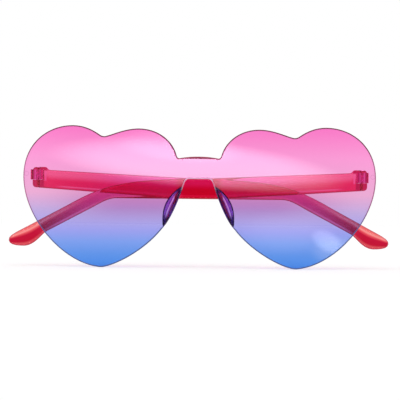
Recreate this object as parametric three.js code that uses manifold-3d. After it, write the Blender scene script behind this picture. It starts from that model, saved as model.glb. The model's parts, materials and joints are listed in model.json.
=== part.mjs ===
// Rimless heart sunglasses: one domed shield lens and two side arms folded behind it.
// Millimetres, as worn: +X towards the wearer's left, +Y towards the face, +Z up.
// The origin is on the back of the lens, under the middle of the bridge.
import * as THREE from 'three';
import { mergeVertices } from 'three/addons/utils/BufferGeometryUtils.js';
import Module from 'manifold-3d';

// Shield lens: a sheet of even thickness on a shallow dome
const lensThickness = 2;
const domeRadius = 300;
const domeCentreZ = -8;
const domeCell = 5;

// Half outline of the front, in X and Z: the points where each curve turns
const bridgeTopZ = 9.1;
const notchX = 8.8;
const notchZ = 8.5;
const innerLobeX = 24.7;
const innerLobeZ = 20.4;
const dipX = 39.2;
const dipZ = 17.1;
const dipRound = 1.4;
const outerLobeX = 52.2;
const outerLobeZ = 21.6;
const sideX = 72.6;
const sideZ = 0.8;
const tipX = 40;
const tipZ = -36.5;
const noseFootX = 14.8;
const noseFootZ = -20.5;
const noseTopX = 6;
const noseTopZ = -2.2;
const bridgeUnderHalf = 3.9;

// Reach of the outline's curves to each side of those points
const notchLead = 1;
const notchFall = 0.1;
const notchDip = 0.3;
const notchExit = 0.4;
const notchRise = 1.2;
const flankRun = 2;
const flankRise = 7;
const innerLobeLead = 8;
const innerLobeTrail = 5.7;
const dipLead = 3.5;
const dipLeadRise = 0.7;
const dipEdgeRise = 0.3;
const dipFall = 0.3;
const dipExitRise = 0.5;
const dipTrail = 4.2;
const dipTrailRise = 2.4;
const outerLobeLead = 5.3;
const outerLobeTrail = 10.1;
const sideRise = 13.7;
const sideFall = 17.3;
const tipLead = 15.6;
const tipRise = 1;
const tipTrail = 4.7;
const noseFootRun = 7.5;
const noseFootFall = 9.6;
const noseFootTurn = 3.3;
const noseTopRun = 2;
const noseTopFall = 6.6;
const noseTopRound = 0.6;

// Hinges: a lug behind the lens, held by a screw between the two prongs of the arm
const hingeInset = 5.6;
const hingeStandoff = 6.2;
const lugRadius = 2.2;
const lugTopZ = 3.1;
const lugBottomZ = -0.65;
const lugFlare = 0.1;
const hingeEndPlay = 0.25;
const knuckleGap = 0.35;
const prongTopZ = 4.45;

// Screw
const screwRadius = 0.7;
const screwHeadRadius = 1;
const screwHeadHeight = 0.5;
const screwSlotWidth = 0.35;
const screwSlotDepth = 0.25;
const screwTipRecess = 0.4;
const screwClearance = 0.18;

// Arms: flat blades with rounded edges. The shaft is measured from the hinge axis, and the
// ear end from the tip
const armThickness = 3.2;
const armEdgeRadius = 0.9;
const armTopZ = 3.2;
const armBottomZ = -4.1;
const forkReach = 2.2;
const forkCorner = 1.5;
const prongStepStart = 3;
const prongStepLength = 2;
const shaftLength = 61.5;
const shaftTopZ = 0.45;
const bellyStart = 60;
const bellyZ = -8.2;
const bellyBlend = 5;
const bellyRise = 0.3;
const armLength = 145.7;
const earLength = 44.7;
const paddleTopLength = 24.7;
const paddleTopZ = -11;
const bendLead = 17;
const bendRise = 9.8;
const shoulderRun = 33;
const shoulderDrop = 0.75;
const paddleBottomLength = 33.7;
const paddleBottomZ = -12.6;
const bendBlend = 4;
const bendDrop = 2.1;
const heelLength = 15.2;
const heelZ = -22.5;
const heelLead = 2.2;
const heelDrop = 1.7;
const heelTrail = 4.8;
const heelRun = 9;
const armTipZ = -28.3;
const armTipRound = 3.2;
const armTipHeight = 5.76;
const armTipEase = 1;
const foldGap = 0.3;

// Nose pads: ridges along the nose edge, almond-shaped where they meet the lens
const padInset = 0.35;
const padWidth = 3.9;
const padDepth = 6.6;
const padSink = 1;
const padEndTrim = 0.05;

// Line of adhesive between the lens and what is bonded to its back
const bondLine = 0.25;

// Facets of curves and round pieces
const outlineSteps = 9;
const profileSteps = 7;
const edgeSteps = 2;
const roundSides = 20;
const padStations = 14;
const padSides = 12;

const hingeX = sideX - hingeInset;
const hingeZ = (lugTopZ + lugBottomZ) / 2;
const backRadius = domeRadius - lensThickness;

const wasm = await Module();
wasm.setup();

// A closed geometry as a solid that can be joined and cut
function solidOf(geometry) {
  const bare = geometry.clone();
  bare.deleteAttribute('normal');
  bare.deleteAttribute('uv');
  const merged = mergeVertices(bare, 1e-4);
  return new wasm.Manifold(new wasm.Mesh({
    numProp: 3,
    vertProperties: merged.attributes.position.array,
    triVerts: merged.index.array,
  }));
}

function geometryOf(solid) {
  const mesh = solid.getMesh();
  const geometry = new THREE.BufferGeometry();
  geometry.setAttribute('position', new THREE.BufferAttribute(mesh.vertProperties, 3));
  geometry.setIndex(new THREE.BufferAttribute(mesh.triVerts, 1));
  geometry.computeVertexNormals();
  return geometry;
}

function clearPlastic(colour, opacity) {
  return new THREE.MeshStandardMaterial({
    color: colour,
    roughness: 0.08,
    metalness: 0,
    transparent: true,
    opacity,
  });
}

// Depth of a dome of the given radius about the shared centre of the lens faces
function domeY(radius, x, z) {
  const across = x * x + (z - domeCentreZ) ** 2;
  return backRadius - Math.sqrt(radius * radius - across);
}

// A block over the whole front whose two broad faces are pressed to the given depths
function pressedBlock(frontY, rearY) {
  const reachX = sideX + domeCell;
  const top = Math.max(innerLobeZ, outerLobeZ) + domeCell;
  const height = top - tipZ + domeCell;
  const across = Math.ceil(2 * reachX / domeCell);
  const up = Math.ceil(height / domeCell);
  const block = new THREE.BoxGeometry(2 * reachX, 2, height, across, 1, up);
  block.translate(0, 0, top - height / 2);
  const place = block.attributes.position;
  for (let i = 0; i < place.count; i += 1) {
    const depth = place.getY(i) < 0 ? frontY : rearY;
    place.setY(i, depth(place.getX(i), place.getZ(i)));
  }
  return solidOf(block);
}

// The nose edge of the wearer's left heart, from its foot up to the bridge
const noseEdge = new THREE.CubicBezierCurve(
  new THREE.Vector2(noseFootX, noseFootZ),
  new THREE.Vector2(noseFootX - noseFootTurn, noseFootZ + noseFootTurn),
  new THREE.Vector2(noseTopX + noseTopRun, noseTopZ - noseTopFall),
  new THREE.Vector2(noseTopX, noseTopZ),
);

// Left half of the outline, from the top of the bridge round the heart to its underside
function halfOutline() {
  const half = new THREE.Path();
  half.moveTo(0, bridgeTopZ);
  half.quadraticCurveTo(notchX / 2, bridgeTopZ, notchX - notchLead, notchZ - notchFall);
  half.quadraticCurveTo(notchX, notchZ - notchDip, notchX + notchExit, notchZ + notchRise);
  half.bezierCurveTo(
    notchX + flankRun, notchZ + flankRise, innerLobeX - innerLobeLead, innerLobeZ,
    innerLobeX, innerLobeZ);
  half.bezierCurveTo(
    innerLobeX + innerLobeTrail, innerLobeZ, dipX - dipLead, dipZ + dipLeadRise,
    dipX - dipRound, dipZ + dipEdgeRise);
  half.quadraticCurveTo(dipX, dipZ - dipFall, dipX + dipRound, dipZ + dipExitRise);
  half.bezierCurveTo(
    dipX + dipTrail, dipZ + dipTrailRise, outerLobeX - outerLobeLead, outerLobeZ,
    outerLobeX, outerLobeZ);
  half.bezierCurveTo(
    outerLobeX + outerLobeTrail, outerLobeZ, sideX, sideZ + sideRise, sideX, sideZ);
  half.bezierCurveTo(sideX, sideZ - sideFall, tipX + tipLead, tipZ + tipRise, tipX, tipZ);
  half.bezierCurveTo(
    tipX - tipTrail, tipZ, noseFootX + noseFootRun, noseFootZ - noseFootFall,
    noseFootX, noseFootZ);
  half.bezierCurveTo(...noseEdge.v1, ...noseEdge.v2, noseTopX, noseTopZ);
  half.quadraticCurveTo(noseTopX - noseTopRound, 0, bridgeUnderHalf, 0);
  return half.getPoints(outlineSteps);
}

function lensShield() {
  const left = halfOutline();
  const right = left.slice(1).reverse().map((p) => new THREE.Vector2(-p.x, p.y));
  const reach = domeY(backRadius, sideX, tipZ) + lensThickness;
  const cutter = new THREE.ExtrudeGeometry(new THREE.Shape([...left, ...right]), {
    depth: 4 * reach,
    bevelEnabled: false,
  });
  cutter.rotateX(Math.PI / 2);
  cutter.translate(0, 2 * reach, 0);
  const sheet = pressedBlock(
    (x, z) => domeY(domeRadius, x, z),
    (x, z) => domeY(backRadius, x, z),
  );
  return geometryOf(sheet.intersect(solidOf(cutter)));
}

// All the space behind the lens, less the line of adhesive
const behindLens = pressedBlock(
  (x, z) => domeY(backRadius - bondLine, x, z),
  () => domeY(backRadius, hingeX, hingeZ) + hingeStandoff + 2 * lugRadius,
);

const hingeY = domeY(backRadius, hingeX, hingeZ) + hingeStandoff;

function roundBar(radius, low, high) {
  const bar = new THREE.CylinderGeometry(radius, radius, high - low, roundSides);
  bar.rotateX(Math.PI / 2);
  bar.translate(0, 0, (low + high) / 2);
  return bar;
}

const screwBore = () => solidOf(roundBar(
  screwRadius + screwClearance,
  2 * armBottomZ,
  2 * prongTopZ,
));

// Lug in plan: a round knuckle on a web that flares where it is bonded to the lens
function hingeLug(handX) {
  const plan = new THREE.Shape();
  const foot = lugRadius + lugFlare;
  const footY = -hingeStandoff - lugRadius;
  const webY = footY + 2 * lugRadius + lugFlare;
  plan.moveTo(-foot, footY);
  plan.lineTo(foot, footY);
  plan.quadraticCurveTo(lugRadius, webY - lugFlare, lugRadius, webY);
  plan.lineTo(lugRadius, 0);
  plan.absarc(0, 0, lugRadius, 0, Math.PI, false);
  plan.lineTo(-lugRadius, webY);
  plan.quadraticCurveTo(-lugRadius, webY - lugFlare, -foot, footY);
  const block = new THREE.ExtrudeGeometry(plan, {
    depth: lugTopZ - lugBottomZ,
    bevelEnabled: false,
    curveSegments: roundSides / 2,
  });
  block.translate(0, 0, lugBottomZ);
  const drilled = solidOf(block).subtract(screwBore());
  const placed = drilled.translate([handX * hingeX, hingeY, 0]);
  return geometryOf(placed.intersect(behindLens));
}

// Side profile of an arm from the fork, just ahead of the hinge axis, back to the ear
function armProfile() {
  const profile = new THREE.Shape();
  const stepEnd = prongStepStart + prongStepLength;
  const bendStart = armLength - earLength;
  const paddleTopS = armLength - paddleTopLength;
  const paddleBottomS = armLength - paddleBottomLength;
  const heelS = armLength - heelLength;
  const tipTopZ = armTipZ + armTipHeight;
  profile.moveTo(-forkReach, armBottomZ + forkCorner);
  profile.quadraticCurveTo(-forkReach, armBottomZ, forkCorner - forkReach, armBottomZ);
  profile.lineTo(bellyStart - bellyBlend, bellyZ + bellyRise);
  profile.quadraticCurveTo(bellyStart, bellyZ, bellyStart + bellyBlend, bellyZ);
  profile.lineTo(bendStart, bellyZ);
  profile.bezierCurveTo(
    bendStart + bendBlend, bellyZ, paddleBottomS - bendBlend, paddleBottomZ + bendDrop,
    paddleBottomS, paddleBottomZ);
  profile.lineTo(heelS, heelZ);
  profile.bezierCurveTo(
    heelS + heelLead, heelZ - heelDrop, heelS + heelTrail, armTipZ, heelS + heelRun, armTipZ);
  profile.lineTo(armLength - armTipRound, armTipZ);
  profile.quadraticCurveTo(armLength, armTipZ, armLength, armTipZ + armTipRound);
  profile.quadraticCurveTo(
    armLength, tipTopZ - armTipEase, armLength - armTipRound, tipTopZ);
  profile.lineTo(paddleTopS, paddleTopZ);
  profile.bezierCurveTo(
    paddleTopS - bendLead, paddleTopZ + bendRise, shaftLength + shoulderRun,
    shaftTopZ - shoulderDrop, shaftLength, shaftTopZ);
  profile.lineTo(stepEnd, armTopZ);
  profile.bezierCurveTo(
    stepEnd - prongStepLength / 2, armTopZ, stepEnd - prongStepLength / 2, prongTopZ,
    prongStepStart, prongTopZ);
  profile.lineTo(forkCorner - forkReach, prongTopZ);
  profile.quadraticCurveTo(-forkReach, prongTopZ, -forkReach, prongTopZ - forkCorner);
  profile.closePath();
  return profile;
}

// Arm with its hinge axis on Z, running along +X: a bevelled blade and a fork for the lug
function arm() {
  const blade = new THREE.ExtrudeGeometry(armProfile(), {
    depth: armThickness - 2 * armEdgeRadius,
    bevelThickness: armEdgeRadius,
    bevelSize: armEdgeRadius,
    bevelOffset: -armEdgeRadius,
    bevelSegments: edgeSteps,
    curveSegments: profileSteps,
  });
  blade.rotateX(Math.PI / 2);
  blade.translate(0, armThickness / 2 - armEdgeRadius, 0);
  const slotLength = 2 * (lugRadius + knuckleGap);
  const slotLow = lugBottomZ - hingeEndPlay;
  const slotHigh = lugTopZ + hingeEndPlay;
  const slot = new THREE.BoxGeometry(slotLength, 2 * armThickness, slotHigh - slotLow);
  slot.translate(0, 0, (slotLow + slotHigh) / 2);
  const sink = roundBar(
    screwHeadRadius + screwClearance,
    prongTopZ - screwHeadHeight - screwClearance,
    2 * prongTopZ,
  );
  const forked = solidOf(blade).subtract(solidOf(slot));
  return geometryOf(forked.subtract(screwBore()).subtract(solidOf(sink)));
}

// Hinge screw on the Z axis: a slotted cheese head, sunk level with the upper prong
function hingeScrew() {
  const headLow = prongTopZ - screwHeadHeight;
  const body = new THREE.LatheGeometry([
    new THREE.Vector2(0, armBottomZ + screwTipRecess),
    new THREE.Vector2(screwRadius, armBottomZ + screwTipRecess),
    new THREE.Vector2(screwRadius, headLow),
    new THREE.Vector2(screwHeadRadius, headLow),
    new THREE.Vector2(screwHeadRadius, prongTopZ),
    new THREE.Vector2(0, prongTopZ),
  ], roundSides);
  body.rotateX(Math.PI / 2);
  const slot = new THREE.BoxGeometry(
    4 * screwHeadRadius, screwSlotWidth, 2 * screwSlotDepth);
  slot.translate(0, 0, prongTopZ);
  return geometryOf(solidOf(body).subtract(solidOf(slot)));
}

// Nose pad: half-oval sections along the nose edge, with their feet sunk into the lens and cut off
function nosePad(handX) {
  const positions = [];
  const indices = [];
  const ringSize = padSides + 3;
  for (let i = 0; i <= padStations; i += 1) {
    const t = padEndTrim + (1 - 2 * padEndTrim) * i / padStations;
    const swell = Math.sin(Math.PI * t);
    const edge = noseEdge.getPoint(t);
    const tangent = noseEdge.getTangent(t);
    const addPoint = (inwards, rise) => {
      const x = edge.x + inwards * tangent.y;
      const z = edge.y - inwards * tangent.x;
      positions.push(handX * x, domeY(backRadius, x, z) + rise, z);
    };
    const width = padWidth * swell ** 0.75;
    for (let j = 0; j <= padSides; j += 1) {
      const turn = Math.PI * j / padSides;
      const inwards = padInset + width * (1 - Math.cos(turn)) / 2;
      addPoint(inwards, padDepth * swell ** 0.6 * Math.sin(turn));
    }
    addPoint(padInset + width, -padSink);
    addPoint(padInset, -padSink);
  }
  const ring = (i, j) => i * ringSize + j % ringSize;
  for (let i = 0; i < padStations; i += 1) {
    for (let j = 0; j < ringSize; j += 1) {
      indices.push(ring(i, j), ring(i + 1, j), ring(i + 1, j + 1));
      indices.push(ring(i, j), ring(i + 1, j + 1), ring(i, j + 1));
    }
  }
  for (let j = 1; j < ringSize - 1; j += 1) {
    indices.push(ring(0, 0), ring(0, j), ring(0, j + 1));
    indices.push(ring(padStations, 0), ring(padStations, j + 1), ring(padStations, j));
  }
  if (handX < 0) {
    indices.reverse();
  }
  const ridge = new THREE.BufferGeometry();
  ridge.setAttribute('position', new THREE.Float32BufferAttribute(positions, 3));
  ridge.setIndex(indices);
  return geometryOf(solidOf(ridge).intersect(behindLens));
}

const lensTint = clearPlastic(0xf59bdc, 0.5);
const lugTint = clearPlastic(0xe85a9c, 0.6);
const armTint = clearPlastic(0xc8283c, 0.7);
const padTint = clearPlastic(0x5a2496, 0.8);
const steel = new THREE.MeshStandardMaterial({ color: 0xb9b6b4, roughness: 0.3, metalness: 1 });

const sunglasses = new THREE.Group();

function addPiece(parent, name, geometry, material) {
  const piece = new THREE.Mesh(geometry, material);
  piece.name = name;
  parent.add(piece);
}

addPiece(sunglasses, 'lens_shield', lensShield(), lensTint);

// Both arms fold to the same slant, so they lie flat against each other with a small gap
const foldSlant = Math.asin((armThickness + foldGap) / (2 * hingeX));
for (const [side, handX] of [['left', 1], ['right', -1]]) {
  addPiece(sunglasses, `hinge_lug_${side}`, hingeLug(handX), lugTint);
  addPiece(sunglasses, `nose_pad_${side}`, nosePad(handX), padTint);
  const hinge = new THREE.Group();
  hinge.position.set(handX * hingeX, hingeY, 0);
  hinge.rotation.z = foldSlant + (handX > 0 ? Math.PI : 0);
  addPiece(hinge, `temple_${side}`, arm(), armTint);
  addPiece(hinge, `hinge_screw_${side}`, hingeScrew(), steel);
  sunglasses.add(hinge);
}

export default sunglasses;
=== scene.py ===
import json
import math

import bmesh
import bpy
import numpy as np
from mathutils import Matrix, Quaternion


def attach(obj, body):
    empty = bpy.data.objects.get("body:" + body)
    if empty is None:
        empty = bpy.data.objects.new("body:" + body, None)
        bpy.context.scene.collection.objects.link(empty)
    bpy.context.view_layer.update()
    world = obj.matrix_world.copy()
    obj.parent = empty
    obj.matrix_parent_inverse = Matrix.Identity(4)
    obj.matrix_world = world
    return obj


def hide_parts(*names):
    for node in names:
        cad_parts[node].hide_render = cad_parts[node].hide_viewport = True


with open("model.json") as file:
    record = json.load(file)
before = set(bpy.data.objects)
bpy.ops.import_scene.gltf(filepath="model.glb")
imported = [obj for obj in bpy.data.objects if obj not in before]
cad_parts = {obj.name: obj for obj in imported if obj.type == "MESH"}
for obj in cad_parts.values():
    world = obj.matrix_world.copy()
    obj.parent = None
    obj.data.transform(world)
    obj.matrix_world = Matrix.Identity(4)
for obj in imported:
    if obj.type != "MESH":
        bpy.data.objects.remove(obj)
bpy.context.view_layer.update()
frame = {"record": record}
print("frame loaded")

mm = 0.001
record = frame["record"]
hinges = {j["child"]: np.array(j["pos_m"]) / mm for j in record["behaviour"]["joints"]}
restAxis = next(m["axis"] for m in record["mounts"] if m["name"] == "folded_rest")
foldSlant = math.atan2(-restAxis[0], restAxis[1])
sides = {"left": 1, "right": -1}
curveSteps, lineSteps = 48, 24
faceInset = 1.1  # a plate's flat face begins this many edge reaches inside the outline
bulgeFade = 12  # power by which the bulge of a plate's side dies away over the face
weldReach, speckSize = 2e-7, 1e-7  # metres
boreSides = 48
throughReach = 9  # cutters for bores end this far from the hinge's middle, past every piece
crease = 35  # degrees; a sharper fold is shaded as an edge
white = (1, 1, 1)


def bezier(points, steps):
    # Bernstein sum of the control points at even parameters, the first point left out
    p = np.array(points, float)
    n = len(p) - 1
    t = np.linspace(0, 1, steps + 1)[1:, None]
    return sum(math.comb(n, i) * (1 - t) ** (n - i) * t ** i * p[i] for i in range(n + 1))


def curve(start, *parts):
    # joins straight and curved parts: each part lists the points after the last one
    line = [np.array([start], float)]
    for part in parts:
        line.append(bezier([line[-1][-1], *part], curveSteps if len(part) > 1 else lineSteps))
    return np.concatenate(line)


def even(line, count):
    # count + 1 points at even arc length along a polyline
    run = np.r_[0, np.cumsum(np.hypot(*np.diff(line, axis=0).T))]
    at = np.linspace(0, run[-1], count + 1)
    return np.stack([np.interp(at, run, line[:, i]) for i in range(2)], 1)


def plate(low, right, high, left, depths, thick, edge, deep, rows=5):
    # A sheet in the (a, b) plane with rounded edges. The rim is a profile carried round the
    # outline: inset = edge (1 - sin q), depth = deep (1 - cos q), mirrored about mid-depth.
    # Each face is a blend on the inset outline: (1-v) low + v high, plus each side's bulge from
    # its chord times (1-u)^f or u^f, where f is bulgeFade. depths(a, b, share) is the place of
    # that share of the thickness, and edge(a) is the edge's reach at a station a.
    k, m = len(low) - 1, len(right) - 1
    loop = np.concatenate([low[:-1], right[:-1], high[:0:-1], left[:0:-1]])
    n = len(loop)
    ahead = np.roll(loop, -1, 0) - loop
    ahead = ahead / np.linalg.norm(ahead, axis=1)[:, None]
    along = ahead + np.roll(ahead, 1, 0)
    along = along / np.linalg.norm(along, axis=1)[:, None]
    out = np.stack([along[:, 1], -along[:, 0]], 1)
    q = np.linspace(0, math.pi / 2, rows)
    fall = np.r_[faceInset, 1 - np.sin(q)]
    depth = np.r_[0, deep * (1 - np.cos(q))]
    fall = np.r_[fall, fall[::-1]]
    depth = np.r_[depth, thick - depth[::-1]] / thick
    rings = loop[None] - out[None] * (fall[:, None] * edge(loop[:, 0]))[:, :, None]

    def face(ring):
        a, b = ring[:k + 1], ring[k:k + m + 1]
        c, d = ring[k + m:2 * k + m + 1][::-1], np.r_[ring[2 * k + m:], ring[:1]][::-1]
        u = ((a[:, 0] - a[0, 0]) / (a[-1, 0] - a[0, 0]))[:, None, None]
        v = np.linspace(0, 1, m + 1)[None, :, None]
        net = (1 - v) * a[:, None] + v * c[:, None]
        net = net + (1 - u) ** bulgeFade * (d[None] - (1 - v) * a[0] - v * c[0])
        net = net + u ** bulgeFade * (b[None] - (1 - v) * a[-1] - v * c[-1])
        return net.reshape(-1, 2)

    def placed(flat, share):
        return np.stack([flat[:, 0], depths(flat[:, 0], flat[:, 1], share), flat[:, 1]], 1)

    size = (k + 1) * (m + 1)
    verts = [placed(face(rings[0]), 0.0), placed(face(rings[-1]), 1.0)]
    verts += [placed(r, s) for r, s in zip(rings[1:-1], depth[1:-1])]
    i, j = np.meshgrid(np.arange(k), np.arange(m), indexing="ij")
    a = (i * (m + 1) + j).ravel()
    quads = [np.stack([a, a + m + 1, a + m + 2, a + 1], 1)]
    quads.append(quads[0][:, ::-1] + size)
    border = np.r_[np.arange(k) * (m + 1), k * (m + 1) + np.arange(m),
                   np.arange(k, 0, -1) * (m + 1) + m, np.arange(m, 0, -1)]
    bands = [border] + [2 * size + r * n + np.arange(n) for r in range(len(rings) - 2)]
    bands.append(border + size)
    for near, far in zip(bands[:-1], bands[1:]):
        quads.append(np.stack([near, far, np.roll(far, -1), np.roll(near, -1)], 1))
    rim = np.concatenate([np.zeros(2 * size)] + [np.full(n, 1.0 - f) for f in fall[1:-1]])
    return np.concatenate(verts), np.concatenate(quads), np.clip(rim, 0, 1)


def lathe(radius, height, count):
    # (r cos a, r sin a, z) on a grid of angle a and station; the ends close on the axis
    a = np.linspace(0, 2 * math.pi, count + 1)[:-1, None]
    radius = np.broadcast_to(radius, (count, len(height)))
    verts = np.stack([radius * np.cos(a), radius * np.sin(a),
                      np.broadcast_to(height, radius.shape)], 2)
    i, j = np.meshgrid(np.arange(count), np.arange(len(height) - 1), indexing="ij")
    n = len(height)
    near, far = i * n + j, (i + 1) % count * n + j
    quads = np.stack([near, far, far + 1, near + 1], 2).reshape(-1, 4)
    return verts.reshape(-1, 3), quads


def paint(mesh, name, values):
    mesh.attributes.new(name, "FLOAT", "POINT").data.foreach_set("value", values)


def newObject(name, verts, quads, **marks):
    mesh = bpy.data.meshes.new(name)
    mesh.from_pydata((verts * mm).tolist(), [], quads.tolist())
    for key, values in marks.items():
        paint(mesh, key, values)
    shape = bmesh.new()
    shape.from_mesh(mesh)
    bmesh.ops.remove_doubles(shape, verts=shape.verts, dist=weldReach)
    bmesh.ops.dissolve_degenerate(shape, edges=shape.edges, dist=speckSize)
    shape.to_mesh(mesh)
    shape.free()
    piece = bpy.data.objects.new(name, mesh)
    bpy.context.scene.collection.objects.link(piece)
    return piece


def box(low, high):
    x, y, z = np.meshgrid(*zip(low, high), indexing="ij")
    quads = [[0, 1, 3, 2], [4, 6, 7, 5], [0, 4, 5, 1], [2, 3, 7, 6], [0, 2, 6, 4], [1, 5, 7, 3]]
    return newObject("cutter", np.stack([x, y, z], 3).reshape(-1, 3), np.array(quads))


def rod(radius, low, high):
    return newObject("cutter", *lathe(np.array([0, radius, radius, 0]),
                                      np.array([low, low, high, high], float), boreSides))


def cutAway(piece, cutter):
    change = piece.modifiers.new("cut", "BOOLEAN")
    change.operation, change.solver, change.object = "DIFFERENCE", "EXACT", cutter
    graph = bpy.context.evaluated_depsgraph_get()
    made = bpy.data.meshes.new_from_object(piece.evaluated_get(graph))
    piece.modifiers.clear()
    piece.data = made
    bpy.data.objects.remove(cutter)


def pointsOf(piece):
    points = np.empty(len(piece.data.vertices) * 3)
    piece.data.vertices.foreach_get("co", points)
    return points.reshape(-1, 3)


def place(piece, shift, turn=0.0):
    # turns about Z, then moves: the change goes into the vertices
    c, s = math.cos(turn), math.sin(turn)
    points = pointsOf(piece) @ np.array([[c, s, 0], [-s, c, 0], [0, 0, 1]])
    piece.data.vertices.foreach_set("co", (points + np.array(shift) * mm).ravel())
    piece.data.update()


def finishPiece(piece, material, body, node, angle=crease):
    piece.data.materials.clear()
    piece.data.materials.append(material)
    piece.data.polygons.foreach_set("use_smooth", np.ones(len(piece.data.polygons), bool))
    piece.data.set_sharp_from_angle(angle=math.radians(angle))
    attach(piece, body)
    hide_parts(node)


class Wire:
    # an output socket of a node tree; sums and products of wires add Math nodes
    def __init__(self, tree, socket=None):
        self.tree = tree
        self.socket = socket

    def make(self, kind, settings=None, inputs=None, output=0):
        # a colour is given as three numbers, and its alpha is 1
        node = self.tree.nodes.new("ShaderNode" + kind)
        for key, value in (settings or {}).items():
            setattr(node, key, value)
        for key, value in (inputs or {}).items():
            socket = node.inputs[key]
            if isinstance(value, Wire):
                self.tree.links.new(value.socket, socket)
            else:
                socket.default_value = (*value, 1) if socket.type == "RGBA" else value
        return Wire(self.tree, node.outputs[output])

    def maths(self, operation, a, b=0.0):
        return self.make("Math", {"operation": operation}, {0: a, 1: b})

    def __add__(self, other):
        return self.maths("ADD", self, other)

    def __radd__(self, other):
        return self.maths("ADD", other, self)

    def __sub__(self, other):
        return self.maths("SUBTRACT", self, other)

    def __rsub__(self, other):
        return self.maths("SUBTRACT", other, self)

    def __mul__(self, other):
        return self.maths("MULTIPLY", self, other)

    def __rmul__(self, other):
        return self.maths("MULTIPLY", other, self)

    def __abs__(self):
        return self.maths("ABSOLUTE", self)

    def step(self, low, high):
        # 0 below low, 1 above high, smooth between
        return self.make("MapRange", {"interpolation_type": "SMOOTHSTEP"},
                         {"Value": self, "From Min": low, "From Max": high})

    def between(self, rise, fall):
        # grows from 0 to 1 over the range rise, and back to 0 over the range fall
        return self.step(*rise) * (1 - self.step(*fall))

    def mix(self, a, b, blend="MIX"):
        # this wire is the factor
        return self.make("Mix", {"data_type": "RGBA", "blend_type": blend},
                         {0: self, 6: a, 7: b}, 2)

    def ramp(self, stops):
        # colours by value, from the first stop to the last
        low, high = stops[0][0], stops[-1][0]
        share = self.make("MapRange", {}, {"Value": self, "From Min": low, "From Max": high})
        wire = self.make("ValToRGB", {}, {0: share})
        marks = wire.socket.node.color_ramp.elements
        for i, (at, colour) in enumerate(stops):
            mark = marks[i] if i < 2 else marks.new(1.0)
            mark.position = (at - low) / (high - low)
            mark.color = (*colour, 1)
        return wire


def newMaterial(name):
    # x, y and z are object coordinates in millimetres
    material = bpy.data.materials.new(name)
    material.use_nodes = True
    material.node_tree.nodes.clear()
    base = Wire(material.node_tree)
    spot = base.make("TexCoord", {}, {}, "Object")
    parts = base.make("SeparateXYZ", {}, {0: spot})
    x, y, z = [Wire(base.tree, s) * (1 / mm) for s in parts.socket.node.outputs]
    return material, base, x, y, z


def painted(base, name):
    # a value that the piece carries on its points
    return base.make("Attribute", {"attribute_name": name}, {}, "Fac")


def output(base, kind="Material", **ends):
    node = base.tree.nodes.new("ShaderNodeOutput" + kind)
    for key, wire in ends.items():
        base.tree.links.new(wire.socket, node.inputs[key])


edgeFinish = {"Roughness": 0.5, "Specular IOR Level": 0.15}


def clearPlastic(base, tint, finish, edge=None):
    # clear body, with a tinted shadow in place of a black one; edge is (mask, colour) of a rim
    # that is too steep to see through, drawn solid in a painted colour for the shade and light it
    # shows
    body = base.make("BsdfPrincipled", {}, {
        "Base Color": tint, "Roughness": finish["roughness"], "IOR": finish["ior"],
        "Transmission Weight": 1.0, "Specular Tint": finish["sheen"]})
    if edge:
        paintedEdge = base.make("BsdfPrincipled", {}, {"Base Color": edge[1], **edgeFinish})
        body = base.make("MixShader", {}, {0: edge[0], 1: body, 2: paintedEdge})
    veil = base.make("BsdfTransparent", {}, {"Color": finish["shade"]})
    ray = base.make("LightPath", {}, {}, "Is Shadow Ray")
    ends = {"Surface": base.make("MixShader", {}, {0: ray, 1: body, 2: veil})}
    if "absorb" in finish:
        ends["Volume"] = base.make("VolumeAbsorption", {}, finish["absorb"])
    output(base, **ends)


# Pairs of numbers in the pieces' dictionaries are ranges over which a colour comes in. A name in
# -Share is how much of the colour shows, and one in -Loss how much of it another mask takes away.
lens = {
    "thick": 2.0, "radius": 300.0, "centreZ": -8.0, "edge": 0.55, "cutX": 70.6,
    "scan": 4000, "stations": 210, "flankSteps": 28,
    "ior": 1.4, "roughness": 0.0, "sheen": (1.0, 0.82, 0.95), "shade": (0.75, 0.37, 0.74),
    "tints": [(-36, (0.07, 0.26, 0.82)), (-31, (0.12, 0.30, 0.82)), (-26, (0.21, 0.35, 0.86)),
              (-21, (0.35, 0.36, 0.86)), (-13, (0.56, 0.43, 0.77)), (-6, (0.87, 0.43, 0.69)),
              (9, (1.0, 0.34, 0.70)), (21, (1.0, 0.20, 0.60))],
    # a purple band below the arms: partly the gradient's own purple, partly a painted shadow of
    # the folded arms
    "middle": (0.72, 0.46, 0.72), "middleZ": ((-20, -10.5), (-10, 6)), "middleX": (30, 68),
    "middleShare": 0.85, "middleLoss": 0.8,
    # painted shade: the steep rim is drawn as a dark line, crimson at the top, pink at the sides,
    # blue at the bottom
    "edgeShadeTop": (0.15, 0.006, 0.04), "edgeShadeTopZ": (4, 14), "edgeShadeSide": (0.60, 0.16, 0.36),
    "edgeShadeLow": (0.13, 0.18, 0.46), "edgeShadeLowZ": (-22, -6), "rimTurn": (0.0, 0.3),
    # painted shade: a dark rim and a dark band along the bridge's top
    "bridgeEdgeShade": (0.34, 0.03, 0.08), "bridgeX": (8.2, 9.2), "bridgeZ": (3, 5),
    "lipShadeZ": (8.0, 8.4), "lipShadeShare": 0.85,
    # painted light and shade on the nose gap's edge: a pale line along it, dark near the pads
    "noseEdgeLight": (1.0, 0.74, 0.87), "noseX": (13.5, 15), "noseZ": ((-21.5, -19.5), (0.8, 1.6)),
    "noseLoss": 0.6, "padEdgeShade": (0.10, 0.02, 0.22), "padEdgeShadeZ": (-5.5, -3.5),
    "gate": (0.5, 0.2, 0.4), "gateX": 71.2, "gateZ": 1.6, "gateRadius": 0.85,
    "gateLine": (0.05, 0.2), "gateY": (2, 4), "gateShare": 0.35,
}
lensBack = lens["radius"] - lens["thick"]


def domeY(radius, x, z):
    # both lens faces are spheres about one centre
    return lensBack - np.sqrt(radius ** 2 - x ** 2 - (z - lens["centreZ"]) ** 2)


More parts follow.
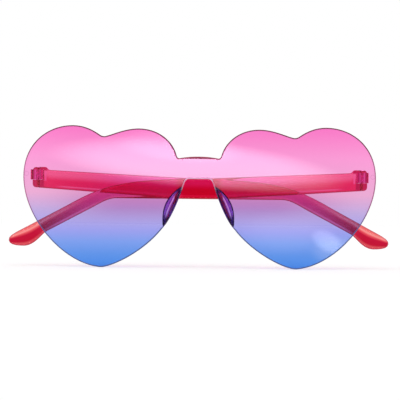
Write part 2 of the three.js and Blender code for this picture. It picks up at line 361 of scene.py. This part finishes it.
noseEdge = [(14.8, -20.5), (11.5, -17.2), (8, -8.8), (6, -2.2)]
upper = curve(
    (0, 9.1), [(4.4, 9.1), (7.8, 8.4)], [(8.8, 8.2), (9.2, 9.7)],
    [(10.8, 15.5), (16.7, 20.4), (24.7, 20.4)], [(30.4, 20.4), (35.7, 17.8), (37.8, 17.4)],
    [(39.2, 16.8), (40.6, 17.6)], [(43.4, 19.5), (46.9, 21.6), (52.2, 21.6)],
    [(62.3, 21.6), (72.6, 14.5), (72.6, 0.8)])
lower = curve(
    (72.6, 0.8), [(72.6, -16.5), (55.6, -35.5), (40, -36.5)],
    [(35.3, -36.5), (22.3, -30.1), noseEdge[0]], noseEdge[1:], [(5.4, 0), (3.9, 0)], [(0, 0)])


def buildLens():
    # the long edges run to cutX on both sides, and the rest of the outline is the two flanks
    fine = np.linspace(0, lens["cutX"], lens["scan"] + 1)
    topZ = np.interp(fine, upper[:, 0], upper[:, 1])
    lowZ = np.interp(fine, lower[::-1, 0], lower[::-1, 1])
    run = np.r_[0, np.cumsum(np.hypot(np.diff(fine), np.diff(topZ))
                             + np.hypot(np.diff(fine), np.diff(lowZ)))]
    half = np.interp(np.linspace(0, run[-1], lens["stations"] + 1), run, fine)
    x = np.r_[-half[:0:-1], half]
    top = np.stack([x, np.interp(abs(x), fine, topZ)], 1)
    low = np.stack([x, np.interp(abs(x), fine, lowZ)], 1)
    flank = np.concatenate([upper, lower[1:]])
    flank = flank[flank[:, 0] > lens["cutX"]][::-1]
    right = even(np.r_[low[-1:], flank, top[-1:]], lens["flankSteps"])

    def depths(a, b, share):
        return domeY(lens["radius"] - lens["thick"] * share, a, b)

    verts, quads, rim = plate(low, right, top, right * [-1, 1], depths, lens["thick"],
                              lambda a: np.full(a.shape, lens["edge"]), lens["edge"])
    piece = newObject("lens_clear", verts, quads, rim=rim)
    material, base, x, y, z = newMaterial("lens_clear")
    tint = z.ramp(lens["tints"])
    # painted shadow: the purple band below the arms, partly the gradient's own purple, weaker
    # towards the outer sides
    middle = lens["middleShare"] - abs(x).step(*lens["middleX"]) * lens["middleLoss"]
    middle = z.between(*lens["middleZ"]) * middle
    tint = middle.mix(tint, lens["middle"], "MULTIPLY")
    bridge = (1 - abs(x).step(*lens["bridgeX"])) * z.step(*lens["bridgeZ"])
    # painted shade: the steep rim as a dark line, crimson at the top, pink at the sides, blue at
    # the bottom
    edgeShade = z.step(*lens["edgeShadeTopZ"]).mix(lens["edgeShadeSide"], lens["edgeShadeTop"])
    edgeShade = z.step(*lens["edgeShadeLowZ"]).mix(lens["edgeShadeLow"], edgeShade)
    edgeShade = bridge.mix(edgeShade, lens["bridgeEdgeShade"])
    # painted light and shade on the nose gap's edge: a pale line along it, dark near the pads
    nose = (1 - abs(x).step(*lens["noseX"])) * z.between(*lens["noseZ"])
    gapEdgeShading = z.step(*lens["padEdgeShadeZ"]).mix(lens["padEdgeShade"], lens["noseEdgeLight"])
    edgeShade = nose.mix(edgeShade, gapEdgeShading)
    gateX, gateZ = abs(x) - lens["gateX"], z - lens["gateZ"]
    reach = base.maths("SQRT", gateX * gateX + gateZ * gateZ)
    ring = 1 - abs(reach - lens["gateRadius"]).step(*lens["gateLine"])
    tint = (ring * y.step(*lens["gateY"]) * lens["gateShare"]).mix(tint, lens["gate"])
    # painted shade: a dark band on the bridge's face under its top, for the top face seen from a
    # little above
    lipShade = bridge * z.step(*lens["lipShadeZ"]) * lens["lipShadeShare"]
    steep = painted(base, "rim").step(*lens["rimTurn"]) * (1 - nose * lens["noseLoss"])
    clearPlastic(base, tint, lens, (base.maths("MAXIMUM", steep, lipShade), edgeShade))
    finishPiece(piece, material, "front", "lens_shield")


buildLens()
print("lens built")

# Names in -From, -To and -Span are lengths from the hinge, and those in -Band are heights across
# the arm, from 0 at its lower edge to 1.
arm = {
    "thick": 3.2, "edge": 0.85, "earEdge": 1.0, "tipEdge": 0.9, "deep": 1.2, "edgeRows": 9,
    "growFrom": 8, "growRun": 40, "fallFrom": 134, "fallRun": 10, "tipLeast": 1.0,
    "top": 4.45, "bottom": -4.1, "start": -2.2, "corner": 1.5,
    "steps": 240, "endSteps": 16, "cornerSteps": 12,
    "slotReach": 2.55, "slotDepth": 4, "slotLow": -0.9, "slotHigh": 3.35,
    "bore": 0.88, "sink": 1.18, "sinkZ": 3.77,
    "ior": 1.3, "roughness": 0.03, "sheen": (1.0, 0.3, 0.4), "shade": (0.8, 0.25, 0.35),
    "absorb": {"Color": (0.97, 0.12, 0.52), "Density": 328.0},
    # upper lighter than lower: partly the arm's own two tones, partly painted light on the upper
    # band and painted shadow on the lower
    "lower": (0.91, 0.09, 0.41), "upper": (1.0, 0.58, 0.97), "upperBand": (0.4, 0.8),
    "rear": (0.86, 0.29, 0.58), "rearFrom": (62, 86),
    "front": (1.0, 1.0, 0.63), "frontTo": (15, 55),
    # painted shade: deeper red where the arm crosses the nose gap, behind the bridge
    "middle": (0.86, 0.36, 0.50), "middleSpan": ((56, 61), (73, 78)),
    # painted light and shade across the ear: dark lines at both edges, a lighter band near the
    # bottom, a pale band with a highlight near the top
    "ear": [(0, (0.50, 0.05, 0.08)), (0.10, (0.80, 0.25, 0.20)), (0.24, (0.56, 0.02, 0.06)),
            (0.56, (0.58, 0.02, 0.07)), (0.68, (0.84, 0.20, 0.18)), (0.78, (1.0, 0.8, 0.5)),
            (0.88, (0.90, 0.38, 0.25)), (1, (0.58, 0.10, 0.10))],
    "earFrom": (104, 136),
    # painted highlight: a light line along the shaft just above its lower edge, weaker over the
    # nose gap
    "lowHighlight": (1.0, 0.5, 0.6), "lowHighlightBand": ((0.10, 0.14), (0.16, 0.21)),
    "lowHighlightFrom": (6, 12), "lowHighlightLoss": 0.7,
    # painted highlight: a light line along the slanted ear, near its lower edge
    "earHighlight": (1.0, 0.66, 0.70), "earHighlightBand": ((0.08, 0.13), (0.17, 0.24)),
    "earHighlightSpan": ((98, 108), (124, 132)), "earHighlightShare": 0.8,
    # painted shade: dark lines along the lower and upper edges and over the steep sides
    "line": (0.36, 0.02, 0.05), "lowShadeLineBand": (0.03, 0.10), "topShadeLineBand": (0.95, 0.99),
    "topShadeLineShare": 0.5, "shadeLineSteep": (0.2, 0.55),
    # painted shade: the fork's prongs and the cap over the slot are darker
    "fork": (0.58, 0.02, 0.16), "forkTo": (2.3, 2.7), "capTo": (4, 5.2), "capZ": (2.6, 3.4),
    "core": (0.9, 0.3, 0.4), "coreTo": (0.6, 1.0),
    # painted light: a pale line where the slot ends
    "slotEndLight": (1.0, 0.62, 0.80), "slotEndLightSpan": ((2.6, 2.9), (3.2, 3.8)),
    "slotEndLightZ": ((-1.6, -0.9), (2.4, 3.0)), "slotEndLightShare": 0.7,
}
armLow = curve(
    (arm["start"] + arm["corner"], arm["bottom"]), [(55, -7.9)], [(60, -8.2), (65, -8.2)],
    [(101, -8.2)], [(105, -8.2), (108, -10.5), (112, -12.6)], [(130.5, -22.5)],
    [(132.7, -24.2), (135.3, -28.3), (139.5, -28.3)])
armEnd = curve((139.5, -28.3), [(143.6, -28.3), (145.7, -27.6), (145.7, -25.8)],
               [(145.7, -23.9), (142.5, -22.54), (136.5, -19.32)])
armTop = curve(
    (arm["start"] + arm["corner"], arm["top"]), [(3, arm["top"])],
    [(4, arm["top"]), (4, 3.2), (5, 3.2)], [(61.5, 0.45)],
    [(94.5, -0.3), (104, -1.2), (121, -11)], [(136.5, -19.32)])


def armEdge(s):
    # the edge's reach grows from the hinge to the ear end and falls again at the tip, each time
    # by the smooth step t t (3 - 2 t)
    grow = np.clip((s - arm["growFrom"]) / arm["growRun"], 0, 1)
    fall = np.clip((s - arm["fallFrom"]) / arm["fallRun"], 0, 1)
    wide = arm["edge"] + (arm["earEdge"] - arm["edge"]) * grow * grow * (3 - 2 * grow)
    return wide + (arm["tipEdge"] - wide) * fall * fall * (3 - 2 * fall)


def buildArm(side):
    # drawn along X from the hinge, then turned to its folded place
    hand, body = sides[side], "arm_" + side
    q = np.linspace(0, math.pi / 2, arm["cornerSteps"] + 1)[:, None]
    corner = arm["corner"] * np.concatenate([1 - np.sin(q), 1 - np.cos(q)], 1)
    start = np.concatenate([corner + [arm["start"], arm["bottom"]],
                            corner[::-1] * [1, -1] + [arm["start"], arm["top"]]])

    def depths(a, b, share):
        return np.full(a.shape, (share - 0.5) * arm["thick"])

    verts, quads, _ = plate(
        even(armLow, arm["steps"]), even(armEnd, arm["endSteps"]), even(armTop, arm["steps"]),
        even(start, arm["endSteps"]), depths, arm["thick"], armEdge, arm["deep"],
        arm["edgeRows"])
    piece = newObject("temple_clear_" + side, verts, quads)
    reach, depth = arm["slotReach"], arm["slotDepth"]
    cutAway(piece, box((-reach, -depth, arm["slotLow"]), (reach, depth, arm["slotHigh"])))
    cutAway(piece, rod(arm["bore"], -throughReach, throughReach))
    cutAway(piece, rod(arm["sink"], arm["sinkZ"], throughReach))
    s, _, z = pointsOf(piece).T / mm
    tip = len(armEnd) // 2
    low = np.interp(s, *np.concatenate([armLow, armEnd[1:tip + 1]]).T)
    high = np.interp(s, *np.concatenate([armTop, armEnd[-2:tip - 1:-1]]).T)
    paint(piece.data, "across", (z - low) / np.maximum(high - low, arm["tipLeast"]))
    normals = np.empty(len(s) * 3)
    piece.data.vertex_normals.foreach_get("vector", normals)
    paint(piece.data, "steep", 1 - abs(normals[1::3]))
    place(piece, hinges[body], foldSlant + (math.pi if hand > 0 else 0))
    material, base, x, _, z = newMaterial("temple_clear_" + side)
    along = hinges[body][0] * hand - x * hand
    across, steep = painted(base, "across"), painted(base, "steep")
    # upper lighter than lower: partly the arm's own two tones, partly painted light on the upper
    # band and painted shadow on the lower
    tint = across.step(*arm["upperBand"]).mix(arm["lower"], arm["upper"])
    tint = along.step(*arm["rearFrom"]).mix(tint, arm["rear"])
    tint = (1 - along.step(*arm["frontTo"])).mix(tint, arm["front"], "MULTIPLY")
    # painted shade: deeper red where the arm crosses the nose gap, behind the bridge
    middle = along.between(*arm["middleSpan"])
    tint = middle.mix(tint, arm["middle"], "MULTIPLY")
    # painted light and shade across the ear: dark lines at both edges, a lighter band near the
    # bottom, a pale band with a highlight near the top
    ear = along.step(*arm["earFrom"])
    tint = ear.mix(tint, across.ramp(arm["ear"]))
    # painted highlight: a light line along the shaft just above its lower edge, weaker over the
    # nose gap
    lowHighlight = across.between(*arm["lowHighlightBand"]) * along.step(*arm["lowHighlightFrom"])
    lowHighlight = lowHighlight * (1 - ear) * (1 - middle * arm["lowHighlightLoss"])
    tint = lowHighlight.mix(tint, arm["lowHighlight"])
    # painted highlight: a light line along the slanted ear, near its lower edge
    earHighlight = across.between(*arm["earHighlightBand"]) * along.between(*arm["earHighlightSpan"])
    tint = (earHighlight * arm["earHighlightShare"]).mix(tint, arm["earHighlight"])
    # painted shade: dark lines along the lower and upper edges and over the steep sides
    tint = (1 - across.step(*arm["lowShadeLineBand"])).mix(tint, arm["line"])
    tint = (across.step(*arm["topShadeLineBand"]) * arm["topShadeLineShare"]).mix(tint, arm["line"])
    tint = steep.step(*arm["shadeLineSteep"]).mix(tint, arm["line"])
    # painted shade: the fork's prongs and the cap over the slot are darker
    cap = z.step(*arm["capZ"]) * (1 - along.step(*arm["capTo"]))
    fork = base.maths("MAXIMUM", cap, 1 - along.step(*arm["forkTo"]))
    tint = fork.mix(tint, arm["fork"])
    tint = (1 - abs(along).step(*arm["coreTo"])).mix(tint, arm["core"])
    # painted light: a pale line where the slot ends
    slotEndLight = along.between(*arm["slotEndLightSpan"]) * z.between(*arm["slotEndLightZ"])
    tint = (slotEndLight * arm["slotEndLightShare"]).mix(tint, arm["slotEndLight"])
    clearPlastic(base, tint, arm)
    finishPiece(piece, material, body, "temple_" + side)


for side in sides:
    buildArm(side)
print("arms built")

lug = {
    "radius": 2.44, "flare": 0.01, "low": -0.86, "high": 3.31, "edge": 0.1, "standoff": 6.2,
    "webLead": 1.2, "flareLead": 0.2, "bond": 0.04, "bore": 0.88, "steps": 24,
    "ior": 1.06, "roughness": 0.03, "sheen": (1.0, 0.3, 0.4), "shade": (0.85, 0.4, 0.6),
    "body": (0.62, 0.02, 0.22), "boreReach": (0.9, 1.1),
    # painted shade: the lug darker towards its sides
    "side": (0.42, 0.006, 0.09), "sideX": (0.9, 1.9),
    # painted highlight: a lighter stripe down the middle, for the screw seen through the lug
    "core": (1.0, 0.6, 0.85), "coreLightX": (0.5, 1.2),
    # painted shade: the steep flanks are drawn as a solid crimson rim
    "flank": (0.92, 0.03, 0.28), "flankShadeX": (2.0, 2.2),
}


def buildLug(side):
    # the plan is drawn with b pointing to the lens; depth is height
    hinge = hinges["arm_" + side]
    r, foot, far = lug["radius"], lug["radius"] + lug["flare"], lug["standoff"]
    web = far - lug["flare"] - lug["webLead"]
    turn = np.linspace(math.pi, 2 * math.pi, lug["steps"] + 1)
    knuckle = np.stack([r * np.cos(turn), r * np.sin(turn)], 1)
    flank = curve((r, 0), [(r, web)], [(r, far - lug["flareLead"]), (foot, far)])
    flank = even(flank, lug["steps"])
    x = np.linspace(-foot, foot, lug["steps"] + 1)
    top = np.stack([x, np.full(len(x), far)], 1)
    tall = lug["high"] - lug["low"]

    def depths(a, b, share):
        return np.full(a.shape, lug["low"] + share * tall)

    verts, quads, _ = plate(knuckle, flank, top, flank * [-1, 1], depths, tall,
                            lambda a: np.full(a.shape, lug["edge"]), lug["edge"])
    verts = np.stack([verts[:, 0], -verts[:, 2], verts[:, 1]], 1)
    near = np.clip((-verts[:, 1] - web) / (far - web), 0, 1)
    seat = domeY(lensBack, verts[:, 0] + hinge[0], verts[:, 2]) - hinge[1] + lug["bond"]
    verts[:, 1] += near * (seat + far)
    piece = newObject("hinge_lug_clear_" + side, verts, quads)
    cutAway(piece, rod(lug["bore"], -throughReach, throughReach))
    place(piece, hinge)
    material, base, x, y, _ = newMaterial("hinge_lug_clear_" + side)
    across, behind = x - hinge[0], y - hinge[1]
    beside = abs(across)
    # painted shade: the lug darker towards its sides
    tint = beside.step(*lug["sideX"]).mix(lug["body"], lug["side"])
    reach = base.maths("SQRT", across * across + behind * behind)
    tint = reach.step(*lug["boreReach"]).mix(white, tint)
    # painted highlight: a lighter stripe down the middle, for the screw seen through the lug
    tint = (1 - beside.step(*lug["coreLightX"])).mix(tint, lug["core"])
    # painted shade: the steep flanks are drawn as a solid crimson rim
    clearPlastic(base, tint, lug, (beside.step(*lug["flankShadeX"]), lug["flank"]))
    finishPiece(piece, material, "front", "hinge_lug_" + side)


for side in sides:
    buildLug(side)
print("hinge lugs built")

pad = {
    "inset": 0.35, "width": 3.9, "depth": 6.6, "bond": 0.04, "trim": 0.05,
    "scan": 480, "stations": 48, "archSteps": 24,
    "widthPower": 0.75, "depthPower": 0.6, "archPower": 1.2, "crease": 50,
    "ior": 1.25, "roughness": 0.05, "sheen": (0.25, 0.08, 0.7), "shade": (0.4, 0.2, 0.7),
    # the nose-side half is plum: the pad's violet with a painted reflection of the red arms
    "nose": (0.34, 0.09, 0.40), "body": (0.26, 0.07, 0.66), "bodyArch": (0.3, 0.5),
    # painted highlight along the pad's crest
    "crestHighlight": (1.0, 0.9, 1.0), "crestHighlightReach": (0.03, 0.09),
    "ends": (0.05, 0.01, 0.30), "sideReach": (0.12, 0.42), "endReach": (0.22, 0.46),
    "foot": (0.018, 0.004, 0.07), "footRun": (0.12, 0.34),
}


def buildPad(side):
    # Stations t along the nose edge and arch angle q: n = inset + W (1 - cos q) / 2 from the
    # edge, y = D sin(q)^archPower behind the lens. W swells as sin(pi t)^widthPower and D as
    # sin(pi t)^depthPower.
    hand, trim, scan = sides[side], pad["trim"], pad["scan"]
    rows, ring = pad["stations"] + 1, pad["archSteps"] + 1
    line = even(curve(noseEdge[0], noseEdge[1:]), scan)
    line = line[np.linspace(scan * trim, scan * (1 - trim), rows).astype(int)]
    slope = np.gradient(line, axis=0)
    slope = slope / np.linalg.norm(slope, axis=1)[:, None]
    out = np.stack([slope[:, 1], -slope[:, 0]], 1)[:, None]
    t = np.linspace(0, 1, rows)[:, None]
    q = np.linspace(0, math.pi, ring)[None]
    swell = np.clip(np.sin(math.pi * t), 0, 1)
    n = pad["inset"] + pad["width"] * swell ** pad["widthPower"] * (1 - np.cos(q)) / 2
    arched = np.clip(np.sin(q), 0, 1) ** pad["archPower"]
    rise = pad["depth"] * swell ** pad["depthPower"] * arched
    flat = line[:, None] + out * n[:, :, None]
    y = domeY(lensBack, flat[..., 0], flat[..., 1]) + pad["bond"] + rise
    verts = np.stack([hand * flat[..., 0], y, flat[..., 1]], 2).reshape(-1, 3)
    i, j = np.meshgrid(np.arange(rows - 1), np.arange(ring), indexing="ij")
    a, b = i * ring + j, i * ring + (j + 1) % ring
    quads = np.stack([a, a + ring, b + ring, b], 2).reshape(-1, 4)
    arch = np.broadcast_to(q / math.pi, (rows, ring)).ravel()
    run = np.broadcast_to(t, (rows, ring)).ravel()
    piece = newObject("nose_pad_clear_" + side, verts, quads if hand > 0 else quads[:, ::-1],
                      arch=arch, run=run)
    material, base = newMaterial("nose_pad_clear_" + side)[:2]
    arch, run = painted(base, "arch"), painted(base, "run")
    fromCrest, fromMiddle = abs(arch - 0.5), abs(run - 0.5)
    # the nose-side half is plum: the pad's violet with a painted reflection of the red arms
    tint = arch.step(*pad["bodyArch"]).mix(pad["nose"], pad["body"])
    tint = fromCrest.step(*pad["sideReach"]).mix(tint, pad["ends"])
    # painted highlight along the pad's crest
    tint = (1 - fromCrest.step(*pad["crestHighlightReach"])).mix(tint, pad["crestHighlight"])
    tint = fromMiddle.step(*pad["endReach"]).mix(tint, pad["ends"])
    tint = (1 - run.step(*pad["footRun"])).mix(tint, pad["foot"])
    clearPlastic(base, tint, pad)
    finishPiece(piece, material, "front", "nose_pad_" + side, pad["crease"])


for side in sides:
    buildPad(side)
print("nose pads built")

screw = {
    "radius": 0.7, "head": 1.0, "tip": 0.5, "tipZ": -3.7, "headZ": 3.95, "topZ": 4.45,
    "tipLead": 0.2, "headLead": 0.1, "chamfer": 0.08, "pitch": 0.4, "pitchSteps": 9,
    "groove": 0.13, "slotHalf": 0.175, "slotZ": 4.2, "slotReach": 3, "slotTop": 6,
    "sides": 40, "crease": 45, "steel": (0.88, 0.84, 0.92), "glint": (0.95, 0.92, 0.97),
    "grain": {"Scale": 4000.0, "Detail": 2.0}, "roughness": 0.72, "grainRoughness": 0.15,
}


def buildScrew(side):
    # thread: the shank's radius less groove * (1 - cos(2 pi z / pitch - a)) / 2
    body = "arm_" + side
    tipZ, headZ, topZ = screw["tipZ"], screw["headZ"], screw["topZ"]
    radius, head, chamfer = screw["radius"], screw["head"], screw["chamfer"]
    shank = np.arange(tipZ + screw["tipLead"], headZ - screw["headLead"],
                      screw["pitch"] / screw["pitchSteps"])
    z = np.r_[tipZ, tipZ, shank, headZ, headZ, topZ - chamfer, topZ, topZ]
    r = np.r_[0, screw["tip"], np.full(len(shank), radius), radius, head, head,
              head - chamfer, 0]
    a = np.linspace(0, 2 * math.pi, screw["sides"] + 1)[:-1, None]
    wave = (1 - np.cos(2 * math.pi * z[None] / screw["pitch"] - a)) / 2
    worn = np.zeros(len(z))
    worn[2:2 + len(shank)] = screw["groove"]
    piece = newObject("hinge_screw_steel_" + side,
                      *lathe(r[None] - worn[None] * wave, z, screw["sides"]))
    reach, half = screw["slotReach"], screw["slotHalf"]
    cutAway(piece, box((-reach, -half, screw["slotZ"]), (reach, half, screw["slotTop"])))
    place(piece, hinges[body])
    material, base = newMaterial("hinge_screw_steel_" + side)[:2]
    spot = base.make("TexCoord", {}, {}, "Object")
    grain = base.make("TexNoise", {}, {"Vector": spot, **screw["grain"]})
    steel = base.make("BsdfPrincipled", {}, {
        "Base Color": grain.mix(screw["steel"], screw["glint"]),
        "Roughness": grain * screw["grainRoughness"] + screw["roughness"], "Metallic": 1.0})
    output(base, Surface=steel)
    finishPiece(piece, material, body, "hinge_screw_" + side, screw["crease"])


for side in sides:
    buildScrew(side)
print("screws built")

view = {"aim": (0.0006, -0.00855), "away": 0.85, "span": 0.1632, "roll": -0.65,
        "azimuth": 1.5, "sensor": 36.0}
cameraData = bpy.data.cameras.new("camera")
cameraData.sensor_width = view["sensor"]
cameraData.lens = view["sensor"] * view["away"] / view["span"]
camera = bpy.data.objects.new("camera", cameraData)
swing = math.radians(view["azimuth"])
camera.location = (view["aim"][0] + view["away"] * math.sin(swing),
                   -view["away"] * math.cos(swing), view["aim"][1])
camera.rotation_euler = (math.pi / 2, math.radians(view["roll"]), swing)
bpy.context.scene.collection.objects.link(camera)
bpy.context.scene.camera = camera


def unlit(base):
    # 1 for camera, mirror and see-through rays, so that what they meet behind is white
    rays = [base.make("LightPath", {}, {}, "Is " + kind + " Ray")
            for kind in ("Camera", "Glossy", "Transmission")]
    total = rays[0] + rays[1] + rays[2]
    return base.maths("MINIMUM", total, 1.0)


def sheet(name, wide, tall, height=0.0):
    # one flat face about the Z axis; wide and tall are half sizes
    corners = np.array([[-wide, -tall, height], [wide, -tall, height],
                        [wide, tall, height], [-wide, tall, height]])
    return newObject(name, corners, np.array([[0, 1, 2, 3]]))


ground = {"half": 1500, "drop": 0.02, "colour": (0.6, 0.6, 0.6), "glow": 0.5}
floorLevel = float(lower[:, 1].min()) - ground["drop"]
floor = sheet("floor", ground["half"], ground["half"], floorLevel)
material, base = newMaterial("floor")[:2]
glow = base.make("Emission", {}, {"Color": white, "Strength": unlit(base) * ground["glow"]})
matt = base.make("BsdfDiffuse", {}, {"Color": ground["colour"]})
output(base, Surface=base.make("AddShader", {}, {0: glow, 1: matt}))
floor.data.materials.append(material)
floor.visible_glossy = False  # the lens mirrors the cards that stand lower than the floor

room = {"light": 0.6, "seen": 0.4, "darkness": 0.86, "dark": (0.78, 0.93), "behind": (0, -1, 0)}
world = bpy.data.worlds.new("world")
world.use_nodes = True
world.node_tree.nodes.clear()
base = Wire(world.node_tree)
mirrored = base.make("LightPath", {}, {}, "Is Glossy Ray")
direction = base.make("TexCoord", {}, {}, "Generated")
behind = base.make("VectorMath", {"operation": "DOT_PRODUCT"},
                   {0: direction, 1: room["behind"]}, "Value")
# mirrored rays find the room dark behind the camera
darkness = behind.step(*room["dark"]) * mirrored * room["darkness"]
strength = unlit(base) * room["seen"] + room["light"] - darkness
sky = base.make("Background", {}, {"Color": white, "Strength": strength})
output(base, "World", Surface=sky)
bpy.context.scene.world = world


def card(name, azimuth, elevation, spread, turn, glow, core=0.2, hue=white, away=1.6):
    # a soft-edged oval light, seen in reflections only; spread is its half size in degrees
    wide, tall = [away * math.tan(math.radians(d)) for d in spread]
    panel = sheet(name, wide / mm, tall / mm)
    a, e = math.radians(azimuth), math.radians(elevation)
    panel.location = (away * math.sin(a) * math.cos(e), -away * math.cos(a) * math.cos(e),
                      away * math.sin(e))
    panel.rotation_mode = "QUATERNION"
    facing = (-panel.location).to_track_quat("Z", "Y")
    panel.rotation_quaternion = facing @ Quaternion((0, 0, 1), math.radians(turn))
    panel.visible_camera = panel.visible_diffuse = panel.visible_shadow = False
    panel.visible_transmission = False
    material, base, x, y, _ = newMaterial(name)
    x, y = x * (mm / wide), y * (mm / tall)
    fade = 1 - (x * x + y * y).step(core, 1.0)
    bright = base.make("Emission", {}, {"Color": fade.mix((0, 0, 0), hue), "Strength": glow})
    gap = base.make("BsdfTransparent", {}, {"Color": white})
    output(base, Surface=base.make("AddShader", {}, {0: bright, 1: gap}))
    panel.data.materials.append(material)


card("card_upper", azimuth=-2.0, elevation=6.6, spread=(31, 5.1), turn=5, glow=7.8)
card("card_top", azimuth=-5.5, elevation=10, spread=(14, 3.5), turn=5, glow=3.6)
card("card_low_right", azimuth=24.2, elevation=-8.2, spread=(4.0, 2.3), turn=25, glow=6.2,
     core=0.0, hue=(0.8, 1, 1))
card("card_low", azimuth=15.5, elevation=-6.5, spread=(9, 5), turn=0, glow=1.5,
     core=0.0, hue=(0.75, 1, 1))
card("card_low_side", azimuth=26.5, elevation=-10.2, spread=(6, 3.4), turn=0, glow=3.2,
     core=0.0, hue=(1, 0.95, 0.4))
card("card_above", azimuth=0, elevation=58, spread=(40, 12), turn=0, glow=6.0)
card("card_below", azimuth=0, elevation=-50, spread=(40, 10), turn=0, glow=5.0)
lamp = {"energy": 1.0, "spread": 60, "tilt": 35, "turn": -20}
sunData = bpy.data.lights.new("sun", "SUN")
sunData.energy, sunData.angle = lamp["energy"], math.radians(lamp["spread"])
sun = bpy.data.objects.new("sun", sunData)
sun.rotation_euler = (math.radians(lamp["tilt"]), 0, math.radians(lamp["turn"]))
bpy.context.scene.collection.objects.link(sun)
bpy.context.scene.view_settings.view_transform = "Standard"
print("stage, lamps and camera set")
